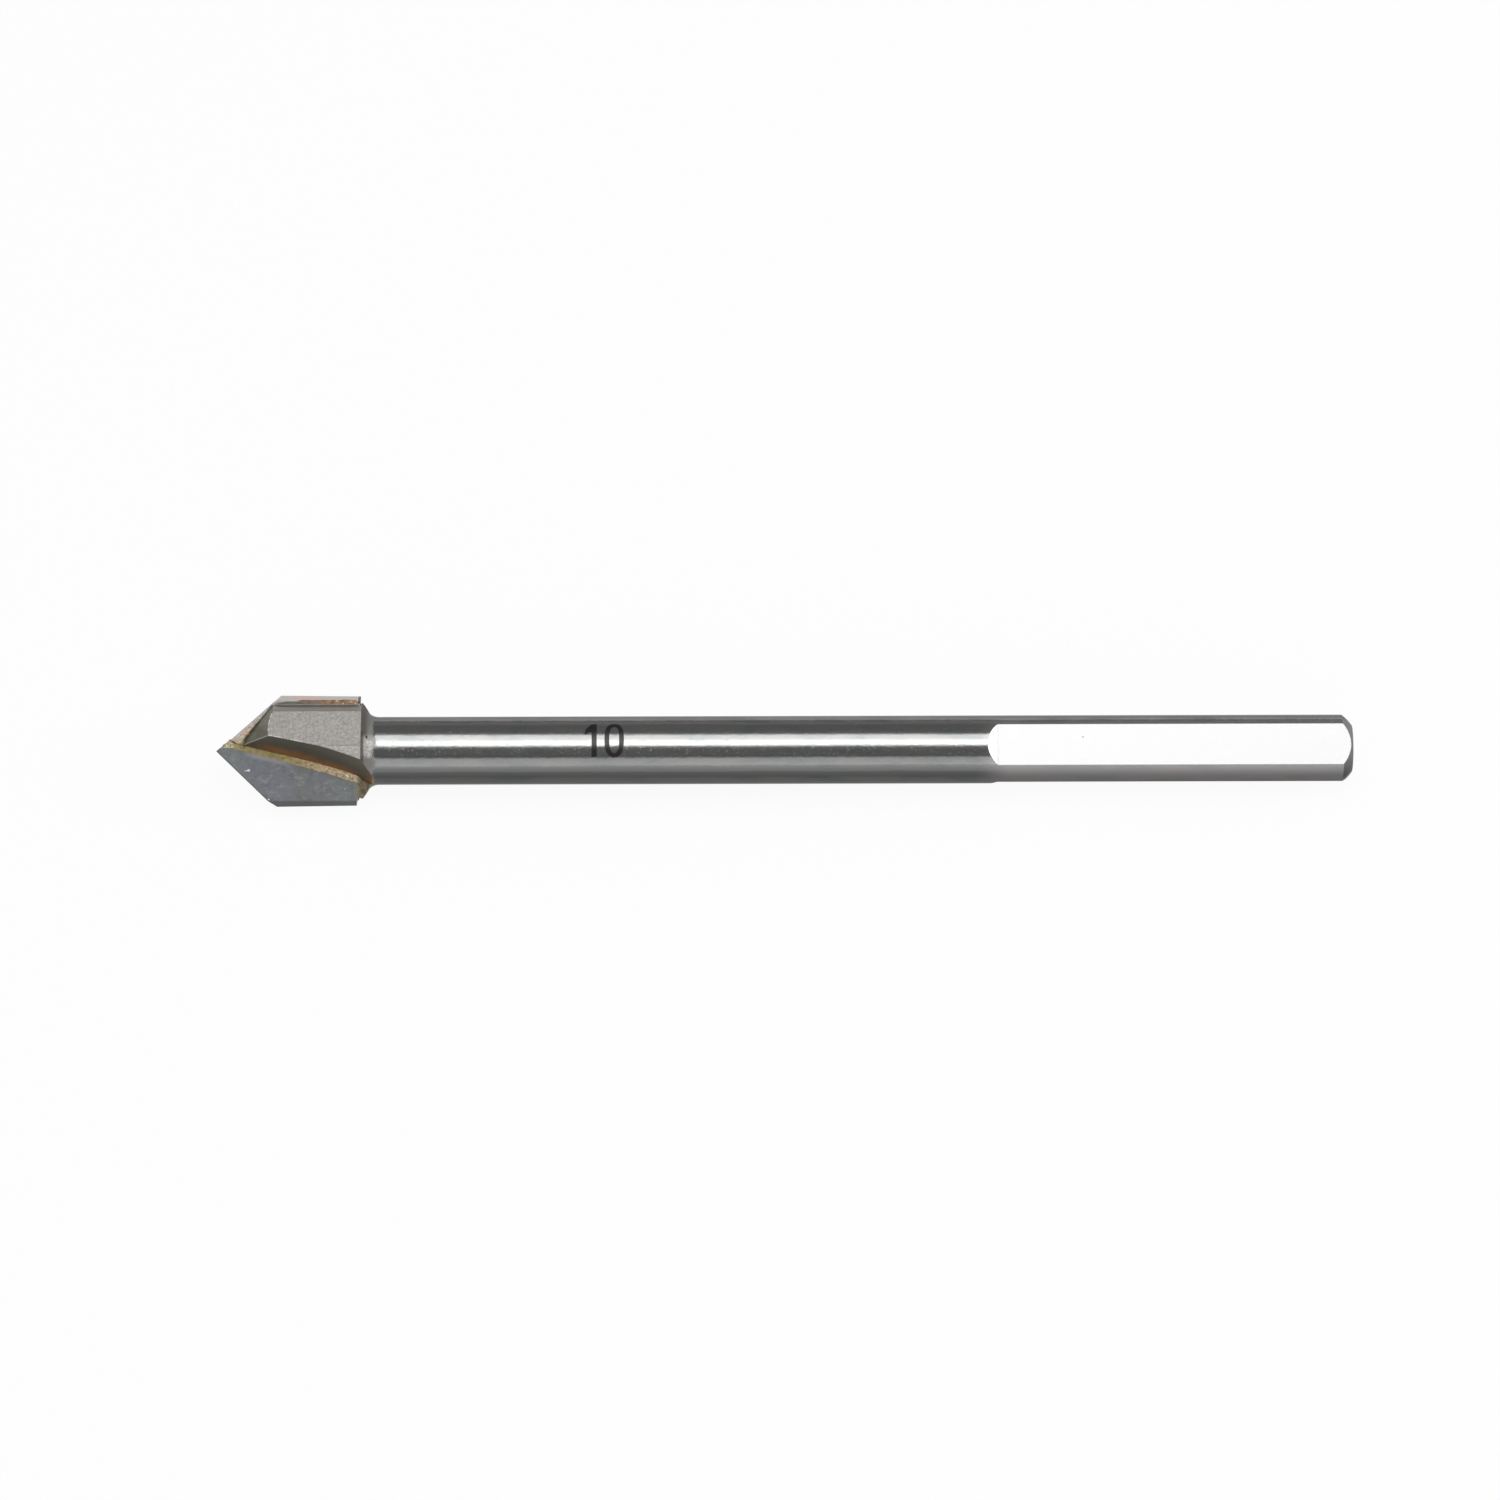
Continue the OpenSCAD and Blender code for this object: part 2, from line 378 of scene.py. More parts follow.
def finishSteel():
    mat, tree, bsdf = newFinish("groundSteel")
    where, x, y, z = bitSpace(tree)
    w = trailing(tree, y, z)
    r = reachOf(tree, y, z)
    offPlate = sizeOf(tree, z)
    worm = cloud(tree, where, *steel["worm"])
    grit = cloud(tree, where, *steel["grit"])
    haze = cloud(tree, where, *steel["haze"])
    wobble = times(tree, less(tree, worm, 0.5), 0.5)

    # which face this is
    lean = head["facetLean"]
    facetD = sizeOf(tree, plus(tree, times(tree, y, math.sin(lean)), times(tree, z, math.cos(lean))))
    onFacet = fade(tree, facetD, *[head["facetR"] - d for d in steel["facetSkin"]])
    level = plus(tree, w, wobble)
    # beside the shank's shine the head's bright grit runs further onto the shank, a painted highlight
    shine = between(tree, level, 0.0, 0.5, 1.1, 1.6)
    lowShine = between(tree, level, -1.8, -1.4, -0.7, -0.3)
    beside = times(tree, most(tree, shine, lowShine), 0.22)
    ragged = plus(tree, times(tree, wobble, 0.4), times(tree, less(tree, grit, 0.5), 0.9))
    isHead = fade(tree, less(tree, plus(tree, x, ragged), beside), *steel["headEnds"])
    noseD = sizeOf(tree, noseGap(tree, x, r))
    onNose = times(tree, fade(tree, noseD, *steel["noseSkin"]), fade(tree, x, *steel["noseEnds"]))
    wallD = sizeOf(tree, wheelGap(tree, x, w, z))
    onFlute = times(tree, fade(tree, wallD, *steel["wallSkin"]), fade(tree, x, *steel["fluteEnds"]))
    onCollar = times(tree, fade(tree, x, *steel["collarStarts"]), isHead, less(tree, 1.0, onFlute))
    lowRound = times(tree, fade(tree, r, *steel["roundR"]), isHead, fade(tree, w, 1.6, 1.2))
    blasted = most(tree, onFacet, lowRound)
    onFlat = times(tree, onFlats(tree, y, z), fade(tree, x, *steel["flatsStart"]))

    # ground shank with faint stains and painted reflection bands across its width
    streak = cloud(tree, stretch(tree, where, (0.25, 0.8, 0.8)), *steel["streak"])
    col = tint(tree, fade(tree, streak, 0.40, 0.66), steel["shank"], steel["shankStain"])
    wavyY = plus(tree, y, times(tree, less(tree, streak, 0.5), 0.3))
    polishAndReflection = tint(tree, fade(tree, x, *steel["rearStarts"]), shades(tree, wavyY, steel["polishAndReflection"]),
                  shades(tree, wavyY, steel["polishAndReflectionRear"]))
    col = tint(tree, 1.0, col, polishAndReflection, "MULTIPLY")
    isWarm = most(tree, fade(tree, x, *steel["warmStarts"]), fade(tree, y, 2.2, 2.6))
    col = tint(tree, isWarm, col, steel["warm"], "MULTIPLY")
    onBevel = times(tree, fade(tree, x, *steel["bevelStarts"]), fade(tree, r, *steel["bevelR"]))
    col = tint(tree, onBevel, col, steel["endBevel"], "MULTIPLY")
    col = tint(tree, onFlat, col, steel["flat"])
    speck = near(tree, where, steel["speckAt"], 0.04, 0.12)
    col = tint(tree, times(tree, speck, 0.6), col, steel["groove"])

    # turned round of the head, with its blasted part
    col = tint(tree, isHead, col, steel["round"])
    blast = plus(tree, times(tree, worm, 0.7), times(tree, grit, 0.3))
    blastCol = tint(tree, fade(tree, blast, 0.36, 0.62), steel["facetDark"], steel["facet"])
    # sparse white glints on the blast are painted highlights
    glints = fade(tree, cloud(tree, where, *steel["glints"]), 0.69, 0.77)
    aside = stretch(tree, where, (1, 1, 1), (5, 3, 1))
    scuffs = fade(tree, cloud(tree, aside, *steel["scuffs"]), 0.68, 0.75)
    blastCol = tint(tree, times(tree, glints, 0.7), blastCol, steel["glint"])
    blastCol = tint(tree, times(tree, scuffs, 0.5), blastCol, steel["scuff"])
    seat = times(tree, fade(tree, sizeOf(tree, less(tree, w, 0.5)), 0.07, 0.03),
                 fade(tree, x, 9.5, 10.5), fade(tree, worm, 0.42, 0.52))
    blastCol = tint(tree, times(tree, seat, 0.6), blastCol, steel["scuff"])
    col = tint(tree, blasted, col, blastCol)

    # nose, and the flute burnt towards the bead
    patchy = fade(tree, cloud(tree, where, *steel["patches"]), 0.38, 0.62)
    noseCol = tint(tree, patchy, steel["nose"], steel["noseDark"])
    noseCol = tint(tree, times(tree, fade(tree, w, 1.6, 3.4), 0.3), noseCol, steel["round"])
    col = tint(tree, onNose, col, noseCol)
    burn = times(tree, fade(tree, plus(tree, x, times(tree, haze, 3.0)), 4.6, 7.4),
                 fade(tree, plus(tree, offPlate, haze), 3.2, 1.9),
                 fade(tree, x, 11.2, 13.0, 1.0, 0.25), fade(tree, z, -0.5, 0.5, 0.55, 1.0))
    fluteCol = tint(tree, burn, steel["flute"], steel["burnt"])
    atBead = times(tree, fade(tree, offPlate, 1.5, 1.2), fade(tree, x, 12.0, 9.0))
    fluteCol = tint(tree, times(tree, atBead, 0.5), fluteCol, steel["olive"])
    flash = near(tree, joined(tree, x, w, offPlate), steel["flashAt"], 0.1, 0.55)
    fluteCol = tint(tree, flash, fluteCol, steel["flash"])

    # collar behind the head: painted shade above, a painted highlight with grit beside the shank's shine,
    # darker below
    collarCol = tint(tree, fade(tree, blast, 0.38, 0.60), steel["collarDull"], steel["collar"])
    shadeAboveCol = tint(tree, fade(tree, x, 13.1, 13.6), steel["collarTopShade"], steel["collarLowShade"])
    collarCol = tint(tree, fade(tree, level, 1.0, 1.6), collarCol, shadeAboveCol)
    collarCol = tint(tree, fade(tree, level, -0.25, -0.75), collarCol, steel["collarLowShade"])
    rim = times(tree, fade(tree, x, 13.14, 12.98), fade(tree, level, 2.0, 1.3))
    collarCol = tint(tree, times(tree, rim, 0.8), collarCol, steel["groove"])
    collarCol = tint(tree, near(tree, where, steel["pitAt"], 0.07, 0.22), collarCol, steel["groove"])
    col = tint(tree, onCollar, col, collarCol)
    col = tint(tree, onFlute, col, fluteCol)

    # painted highlights along the ridges where the flute and the nose meet the facet, and a lighter painted
    # line along the nose's lip
    ridgeGlint = times(tree, fade(tree, wallD, 0.13, 0.04), onFacet, fade(tree, x, 10.0, 6.5),
                  fade(tree, worm, 0.34, 0.52))
    edge = times(tree, fade(tree, noseD, 0.12, 0.03), onFacet, fade(tree, x, 6.5, 5.5),
                 fade(tree, worm, 0.40, 0.55))
    lipGlint = times(tree, fade(tree, wallD, 0.09, 0.03), onNose, 0.55)
    col = tint(tree, times(tree, ridgeGlint, 0.75), col, steel["glint"])
    col = tint(tree, times(tree, edge, 0.8), col, steel["glint"])
    col = tint(tree, lipGlint, col, steel["facet"])
    wire(tree, col, bsdf.inputs["Base Color"])

    coarse = most(tree, blasted, onCollar)
    fine = cloud(tree, where, *steel["fine"])
    rough = plus(tree, times(tree, isHead, 0.24), times(tree, fine, 0.10))
    rough = plus(tree, rough, times(tree, coarse, 0.22))
    wire(tree, plus(tree, rough, 0.12), bsdf.inputs["Roughness"])
    bsdf.inputs["Metallic"].default_value = 1.0
    bsdf.inputs["Specular Tint"].default_value = (0.6, 0.6, 0.6, 1.0)

    pits = fade(tree, cloud(tree, where, *steel["pits"]), 0.66, 0.74)
    ground = less(tree, cloud(tree, where, *steel["grinding"]), times(tree, pits, 0.6))
    ground = times(tree, ground, less(tree, 1.0, onFlat))
    bump = relief(tree, ground, steel["grindingDeep"], softEdges(tree, steel["edgeR"]))
    bump = relief(tree, times(tree, blast, coarse), steel["blastDeep"], bump)
    wire(tree, bump, bsdf.inputs["Normal"])
    return mat


# the sintered carbide plate
carbide = {
    "rake": (0.190, 0.197, 0.194),
    "rakeGreen": (0.209, 0.230, 0.227),
    "rakeBlue": (0.195, 0.205, 0.230),
    "smudge": (0.343, 0.350, 0.357),
    "streak": (0.343, 0.350, 0.386),
    "raw": (0.751, 0.624, 0.481),
    "rawGrey": (0.429, 0.408, 0.386),
    "blush": (0.829, 0.415, 0.329),
    "heatTan": (0.515, 0.393, 0.243),
    "heatOlive": (0.386, 0.307, 0.122),
    "margin": (0.552, 0.513, 0.475),
    # dark brown, here only for the painted shade along the step near the point
    "marginPink": (0.670, 0.464, 0.386),
    "burnt": (0.143, 0.060, 0.029),
    "edge": (0.100, 0.103, 0.105),
    "corner": (0.064, 0.057, 0.054),
    "chip": (0.920, 0.920, 0.920),
    # chips with their size, and scratches from place to place with their width, on the near face
    "chips": [(2.86, -1.68, 0.16), (2.70, -1.71, 0.10), (2.54, -1.72, 0.08), (4.60, -4.24, 0.10),
              (11.3, -3.35, 0.06)],
    "scratches": [((7.10, -1.45), (7.12, -2.55), 0.035), ((8.95, -2.3), (8.75, -3.1), 0.04),
                  ((5.2, -3.2), (7.4, -3.0), 0.03), ((3.9, -1.2), (4.5, -1.5), 0.05),
                  ((6.2, -3.7), (6.9, -4.1), 0.035), ((9.8, -3.6), (11.6, -3.2), 0.03)],
    # painted shade along a step, from place to place
    "stepShade": ((1.20, 1.04), (1.92, 0.50)),
    # places of single tints, the height that counts as the near face, and the turn of the cutting edge
    "blushAt": (2.33, 1.88, 1.0),
    "tanAt": (1.75, 0.85, 1.0),
    "nearFace": (0.93, 0.97),
    "edgeTurn": math.radians(44.1),
    # clouds: scale, detail, roughness and warp
    "haze": (0.5, 4, 0.6),
    "smears": (1.5, 6, 0.74),
    "shadows": (1.3, 6, 0.74),
    "dots": (4.8, 2, 0.5),
    "grain": (4.5, 4, 0.65, 0.5),
    "fine": (14.0, 2, 0.6),
    "lay": (1.2, 3, 0.7),
    # how deep the grinding and the grain are, and how round the edges
    "grindingDeep": 0.006,
    "grainDeep": 0.03,
    "edgeR": 0.05,
}


def finishCarbide():
    mat, tree, bsdf = newFinish("sinteredCarbide")
    where, x, y, z = bitSpace(tree)
    w = trailing(tree, y, z)
    offPlate = sizeOf(tree, z)
    nearFace = fade(tree, z, *carbide["nearFace"])
    haze = cloud(tree, where, *carbide["haze"])

    # ground rake face: blue grey in the middle, greener at the point and the rear, smudged
    col = tint(tree, fade(tree, haze, 0.40, 0.62), carbide["rake"], carbide["rakeBlue"])
    green = most(tree, fade(tree, x, 3.0, 1.4), fade(tree, x, 9.0, 12.0))
    col = tint(tree, times(tree, green, fade(tree, haze, 0.25, 0.55)), col, carbide["rakeGreen"])
    smears = cloud(tree, stretch(tree, where, (0.8, 1.2, 1.0)), *carbide["smears"])
    col = tint(tree, times(tree, fade(tree, smears, 0.50, 0.68), 0.6), col, carbide["smudge"])
    shadows = cloud(tree, stretch(tree, where, (1.0, 1.0, 1.0), (3, 7, 0)), *carbide["shadows"])
    col = tint(tree, times(tree, fade(tree, shadows, 0.50, 0.68), 0.45), col, carbide["edge"])
    dots = fade(tree, cloud(tree, where, *carbide["dots"]), 0.66, 0.74)
    col = tint(tree, times(tree, dots, 0.6), col, carbide["smudge"])
    for a, b, wide in carbide["scratches"]:
        line = times(tree, alongLine(tree, x, y, a, b, wide * 0.3, wide), nearFace, 0.35)
        col = tint(tree, line, col, carbide["smudge"])
    wallD = sizeOf(tree, wheelGap(tree, x, w, z))
    underBead = times(tree, fade(tree, wallD, 0.82, 0.58), fade(tree, x, 2.2, 3.4),
                      fade(tree, x, 7.2, 5.4), nearFace, 0.7)
    col = tint(tree, underBead, col, carbide["streak"])
    col = tint(tree, times(tree, fade(tree, w, -4.28, -4.48), 0.85), col, carbide["edge"])
    turn = carbide["edgeTurn"]
    edgeGap = plus(tree, times(tree, x, math.sin(turn)), times(tree, w, math.cos(turn)))
    col = tint(tree, times(tree, fade(tree, edgeGap, 0.13, 0.05), 0.7), col, carbide["edge"])

    # raw face behind the prong, granular, with heat tints
    grain = cloud(tree, where, *carbide["grain"])
    rawCol = tint(tree, fade(tree, grain, 0.40, 0.60), carbide["rawGrey"], carbide["raw"])
    rawCol = tint(tree, near(tree, where, carbide["blushAt"], 0.12, 0.5), rawCol, carbide["blush"])
    tanSpot = times(tree, near(tree, where, carbide["tanAt"], 0.1, 0.45), 0.8)
    rawCol = tint(tree, tanSpot, rawCol, carbide["heatTan"])
    inNose = noseGap(tree, x, reachOf(tree, w, offPlate))
    atFoot = times(tree, fade(tree, inNose, -0.45, -0.1), fade(tree, x, 3.4, 2.3), 0.8)
    rawCol = tint(tree, atFoot, rawCol, carbide["heatOlive"])
    underSeam = times(tree, fade(tree, w, 3.7, 3.95), fade(tree, x, 4.6, 5.4))
    rawCol = tint(tree, underSeam, rawCol, carbide["rawGrey"])
    raw = fade(tree, less(tree, w, fade(tree, x, 0.5, 2.2, 0.32, 0.30)), -0.04, 0.04)
    col = tint(tree, raw, col, rawCol)
    # painted shade along the step between the blob and the flank near the point
    stepShade = times(tree, alongLine(tree, x, y, *carbide["stepShade"], 0.04, 0.13), fade(tree, z, 0.7, 0.8))
    col = tint(tree, stepShade, col, carbide["burnt"])

    # ground margins, with painted shade where they round over at the rear corner
    onMargin = times(tree, fade(tree, sizeOf(tree, y), 4.30, 4.42), fade(tree, offPlate, 0.995, 0.97))
    pink = times(tree, between(tree, x, 6.0, 7.5, 8.5, 10.5), fade(tree, grain, 0.35, 0.55))
    col = tint(tree, onMargin, col, tint(tree, pink, carbide["margin"], carbide["marginPink"]))
    atRear = fade(tree, fromRear(tree, x, y), head["plateRear"] - 0.24, head["plateRear"] - 0.14)
    col = tint(tree, times(tree, atRear, fade(tree, y, 4.10, 4.25)), col, carbide["corner"])
    for cx, cy, wide in carbide["chips"]:
        chip = near(tree, where, (cx, cy, head["plateFace"]), wide * 0.3, wide)
        col = tint(tree, times(tree, chip, 0.8), col, carbide["chip"])
    wire(tree, col, bsdf.inputs["Base Color"])

    bsdf.inputs["Metallic"].default_value = 0.5
    fine = cloud(tree, where, *carbide["fine"])
    wire(tree, plus(tree, times(tree, fine, 0.2), 0.38), bsdf.inputs["Roughness"])
    lay = cloud(tree, stretch(tree, where, (0.8, 8.0, 1.0)), *carbide["lay"])
    height = plus(tree, times(tree, fine, 0.4), times(tree, lay, 0.6))
    bump = relief(tree, height, carbide["grindingDeep"], softEdges(tree, carbide["edgeR"]))
    bump = relief(tree, times(tree, grain, raw), carbide["grainDeep"], bump)
    wire(tree, bump, bsdf.inputs["Normal"])
    return mat


# the braze filler
braze = {
    "brass": (0.400, 0.318, 0.155),
    "olive": (0.286, 0.240, 0.103),
    "tan": (0.529, 0.415, 0.272),
    "brown": (0.300, 0.214, 0.122),
    "copper": (0.353, 0.191, 0.103),
    "rust": (0.152, 0.109, 0.068),
    "salmon": (0.218, 0.149, 0.116),
    "dull": (0.135, 0.122, 0.105),
    "grey": (0.165, 0.157, 0.140),
    "foot": (0.235, 0.220, 0.200),
    "cream": (0.920, 0.920, 0.715),
    "fill": (0.200, 0.169, 0.117),
    "fillDark": (0.122, 0.089, 0.051),
    # where a colour comes in along the bit, from and to
    "blobEnds": (1.7, 1.4),
    "tanStarts": (6.5, 9.0),
    "creamStarts": (8.0, 11.5),
    "darkStarts": (2.4, 2.9),
    "greyStarts": (3.3, 3.9),
    "salmonStarts": (7.0, 8.6),
    "copperStarts": (8.8, 10.2),
    "flecksStart": (9.0, 11.0),
    # clouds: scale, detail, roughness and warp
    "lumps": (2.2, 3, 0.55),
    "grit": (4.6, 2, 0.55, 0.6),
    "spots": (3.6, 1.5, 0.5),
    "gritDeep": 0.022,
}


def finishBraze():
    mat, tree, bsdf = newFinish("brazeFiller")
    where, x, y, z = bitSpace(tree)
    w = trailing(tree, y, z)
    lump = cloud(tree, where, *braze["lumps"])
    grit = cloud(tree, where, *braze["grit"])
    wavyX = plus(tree, x, times(tree, less(tree, lump, 0.5), 4.0))

    # bead: yellow at the point with flecks of painted cream glint, tan and gritty at the rear
    col = tint(tree, fade(tree, lump, 0.36, 0.60), braze["olive"], braze["brass"])
    tanCol = tint(tree, fade(tree, grit, 0.34, 0.58), braze["brown"], braze["tan"])
    col = tint(tree, fade(tree, wavyX, *braze["tanStarts"]), col, tanCol)
    spots = fade(tree, cloud(tree, where, *braze["spots"]), 0.58, 0.68)
    col = tint(tree, times(tree, spots, fade(tree, x, *braze["creamStarts"]), 0.65), col, braze["cream"])
    # cream flecks at the point, a painted glint
    blob = times(tree, fade(tree, x, *braze["blobEnds"]), fade(tree, grit, 0.42, 0.62), 0.6)
    col = tint(tree, blob, col, braze["cream"])

    # seam along the nose, and along the margin: dull, then salmon, then copper
    noseCol = tint(tree, fade(tree, wavyX, *braze["darkStarts"]), braze["olive"], braze["fillDark"])
    noseCol = tint(tree, fade(tree, wavyX, *braze["greyStarts"]), noseCol, braze["grey"])
    col = tint(tree, times(tree, fade(tree, w, 0.75, 0.95), fade(tree, x, 1.8, 2.0)), col, noseCol)
    seamCol = tint(tree, fade(tree, wavyX, *braze["salmonStarts"]), braze["dull"], braze["salmon"])
    copperCol = tint(tree, fade(tree, grit, 0.36, 0.56), braze["rust"], braze["copper"])
    seamCol = tint(tree, fade(tree, wavyX, *braze["copperStarts"]), seamCol, copperCol)
    flecks = times(tree, spots, fade(tree, x, *braze["flecksStart"]), 0.5)
    seamCol = tint(tree, flecks, seamCol, braze["cream"])
    seamCol = tint(tree, fade(tree, w, 4.17, 4.12), seamCol, braze["foot"])
    col = tint(tree, fade(tree, w, 3.95, 4.02), col, seamCol)

    # what set behind the plate's rear edge
    fillCol = tint(tree, fade(tree, lump, 0.36, 0.58), braze["fillDark"], braze["fill"])
    ragged = plus(tree, fromRear(tree, x, y), times(tree, less(tree, grit, 0.5), 0.5))
    col = tint(tree, fade(tree, ragged, head["plateRear"] - 0.10, head["plateRear"] + 0.22), col, fillCol)
    wire(tree, col, bsdf.inputs["Base Color"])
    bsdf.inputs["Metallic"].default_value = 0.6
    wire(tree, plus(tree, times(tree, lump, 0.25), 0.36), bsdf.inputs["Roughness"])
    wire(tree, relief(tree, grit, braze["gritDeep"]), bsdf.inputs["Normal"])
    return mat


def addPiece(name, verts, faces, mat, slot=None, smooth=True):
    mesh = bpy.data.meshes.new(name)
    mesh.from_pydata([bitToRow @ Vector(v) for v in verts], [], faces)
    bm = bmesh.new()
    bm.from_mesh(mesh)
    bmesh.ops.recalc_face_normals(bm, faces=bm.faces)
    bm.to_mesh(mesh)
    bm.free()
    for p in mesh.polygons:
        p.use_smooth = smooth
    mesh.materials.append(mat)
    obj = bpy.data.objects.new(name, mesh)
    scene.collection.objects.link(obj)
    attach(obj, "root")
    return obj


def withMore(verts, faces, moreVerts, moreFaces):
    n = len(verts)
    return verts + moreVerts, faces + [[i + n for i in f] for f in moreFaces]


def bothSides(verts, faces):
    # the same again at half a turn about the axis
    return withMore(verts, faces, [(x, -y, -z) for x, y, z in verts], faces)


def spread(a, b, n):
    return [a + (b - a) * i / (n - 1) for i in range(n)]


def runBead(stations, lump, pitch, seed=0.0, steps=9):
    # a fillet of filler: each station gives foot, way along the plate, way up the wall, width and height
    hollow, finer, sink, root = 0.36, 2.7, 0.03, 0.06
    verts, faces = [], []
    ring = steps + 2
    for foot, along, up, width, height in stations:
        foot, along, up = Vector(foot), Vector(along).normalized(), Vector(up).normalized()
        out = (along + up).normalized()
        for i in range(steps + 1):
            t = i / steps
            a = t * math.pi / 2
            straight = along * width * (1 - t) + up * height * t
            curved = along * width * (1 - math.sin(a)) + up * height * (1 - math.cos(a))
            p = foot + straight * (1 - hollow) + curved * hollow
            shape = math.sin(math.pi * t)
            n = noise.noise(Vector((p.x * pitch + seed, p.y * pitch, p.z * pitch)))
            ripple = Vector((p.x * pitch * finer, p.y * pitch * finer + seed, p.z * pitch * finer))
            n += 0.6 * noise.noise(ripple)
            p += out * lump * (n + 0.3) * shape * min(1.0, width / 0.4)
            if i == 0:
                p -= up * sink
            if i == steps:
                p -= along * sink
            verts.append(tuple(p))
        verts.append(tuple(foot - along * root - up * root))
    count = len(stations)
    for k in range(count - 1):
        for i in range(ring):
            j = (i + 1) % ring
            faces.append([k * ring + i, k * ring + j, (k + 1) * ring + j, (k + 1) * ring + i])
    faces.append(list(range(ring))[::-1])
    faces.append([(count - 1) * ring + i for i in range(ring)])
    return verts, faces


def lumpPatch(middle, long, wide, turn, high, rings=9, spokes=40):
    # a low uneven blob that set on the plate's face
    a = math.radians(turn)
    verts, faces = [(middle[0], middle[1], head["plateFace"] + high)], []
    for k in range(1, rings + 1):
        rho = k / rings
        for i in range(spokes):
            b = 2 * math.pi * i / spokes
            grow = 1 + 0.16 * noise.noise(Vector((math.cos(b) * 1.7, math.sin(b) * 1.7, 4.4)))
            px, py = long * rho * grow * math.cos(b), wide * rho * grow * math.sin(b)
            x = middle[0] + px * math.cos(a) - py * math.sin(a)
            y = middle[1] + px * math.sin(a) + py * math.cos(a)
            swell = 1 + 0.6 * noise.noise(Vector((x * 4, y * 4, 2.2)))
            verts.append((x, y, head["plateFace"] + high * (1 - rho ** 2) * swell - 0.02 * rho))
    for i in range(spokes):
        j = (i + 1) % spokes
        faces.append([0, 1 + i, 1 + j])
        for k in range(rings - 1):
            inner, outer = 1 + k * spokes, 1 + (k + 1) * spokes
            faces.append([inner + i, outer + i, outer + j, inner + j])
    faces.append([1 + (rings - 1) * spokes + i for i in range(spokes)][::-1])
    return verts, faces


# a bead at the foot of each flute, with its width on the plate and height on the wall along the bit
bead = {
    "runs": [(1.0, 0.30, 0.05), (1.75, 0.45, 0.06), (3.3, 0.54, 0.08), (5.4, 0.57, 0.14), (7.5, 0.53, 0.32),
             (9.6, 0.51, 0.50), (11.7, 0.46, 0.60), (12.5, 0.42, 0.46), (12.85, 0.36, 0.22)],
    "count": 260,
    "lump": 0.06,
    "pitch": 2.8,
    "wobble": 0.12,
    "taper": 0.2,
    "thinnest": 0.2,
    # blobs that set on the plate's face: at the point, and over the foot of the nose
    "blobs": [
        {"middle": (0.99, 0.50), "long": 0.50, "wide": 0.21, "turn": 12, "high": 0.10},
        {"middle": (2.22, 0.45), "long": 0.40, "wide": 0.20, "turn": -24, "high": 0.20},
    ],
}


def makeBeads(mat):
    wall = (0, math.sin(head["wheelLean"]), math.cos(head["wheelLean"]))
    runs = bead["runs"]
    start, end = runs[0][0], runs[-1][0]
    rows = []
    for x in spread(start, end, bead["count"]):
        k = max(i for i in range(len(runs) - 1) if runs[i][0] <= x)
        t = (x - runs[k][0]) / (runs[k + 1][0] - runs[k][0])
        wide = runs[k][1] + (runs[k + 1][1] - runs[k][1]) * t
        high = runs[k][2] + (runs[k + 1][2] - runs[k][2]) * t
        ends = min(1.0, (x - start) / bead["taper"], (end - x) / bead["taper"])
        ends = ends * (1 - bead["thinnest"]) + bead["thinnest"]
        wobble = 1 + bead["wobble"] * noise.noise(Vector((x * 1.1, 3.1, 0)))
        foot = (x, footY(x), head["plateFace"])
        rows.append((foot, (0, -1, 0), wall, wide * ends * wobble, high * ends * wobble))
    verts, faces = runBead(rows, bead["lump"], bead["pitch"])
    for blob in bead["blobs"]:
        verts, faces = withMore(verts, faces, *lumpPatch(**blob))
    addPiece("brazeBeads", *bothSides(verts, faces), mat, "braze")


# seams along the margin at the top of each prong, and along its nose
seams = {
    "top": {"start": 5.1, "end": 12.5, "count": 160, "width": 0.44, "height": 0.04, "lump": 0.02,
            "pitch": 3.2, "wobble": 0.16},
    "nose": {"start": 2.16, "end": head["noseEnd"], "count": 70, "width": 0.13, "height": 0.10,
             "lump": 0.03, "pitch": 3.5, "wobble": 0.4, "up": (0.35, -0.1, 0.9)},
}


def makeSeams(mat):
    face = head["plateFace"]
    top, nose = seams["top"], seams["nose"]
    y = math.sqrt(head["headR"] ** 2 - face ** 2)
    rows = []
    for x in spread(top["start"], top["end"], top["count"]):
        run = x - top["start"]
        grow = min(1.0, 0.2 + run, 0.62 + run / 6, 0.4 + (top["end"] - x) / 0.3)
        grow *= 1 + top["wobble"] * noise.noise(Vector((x * 1.9, 7.7, 0)))
        rows.append(((x, y, face), (0, 1, 0), (0, -face, y), top["width"] * grow, top["height"] * grow))
    verts, faces = bothSides(*runBead(rows, top["lump"], top["pitch"], seed=5.0))
    rows = []
    for x in spread(nose["start"], nose["end"], nose["count"]):
        slope = head["noseSlope"] * noseR(x) / noseY(x)  # dy/dx of the nose on the plate
        wobble = 1 + nose["wobble"] * noise.noise(Vector((x * 1.4, 1.3, 0)))
        wide, high = nose["width"] * wobble, nose["height"] * wobble
        rows.append(((x, noseY(x), face), (-slope, 1, 0), nose["up"], wide, high))
    more = bothSides(*runBead(rows, nose["lump"], nose["pitch"], seed=9.0, steps=6))
    addPiece("brazeSeams", *withMore(verts, faces, *more), mat, "braze")


def slab(outline, z0, z1):
    # a flat outline given some thickness
    n = len(outline)
    verts = [(x, y, z0) for x, y in outline] + [(x, y, z1) for x, y in outline]
    faces = [list(range(n))[::-1], list(range(n, 2 * n))]
    faces += [[i, (i + 1) % n, n + (i + 1) % n, n + i] for i in range(n)]
    return verts, faces


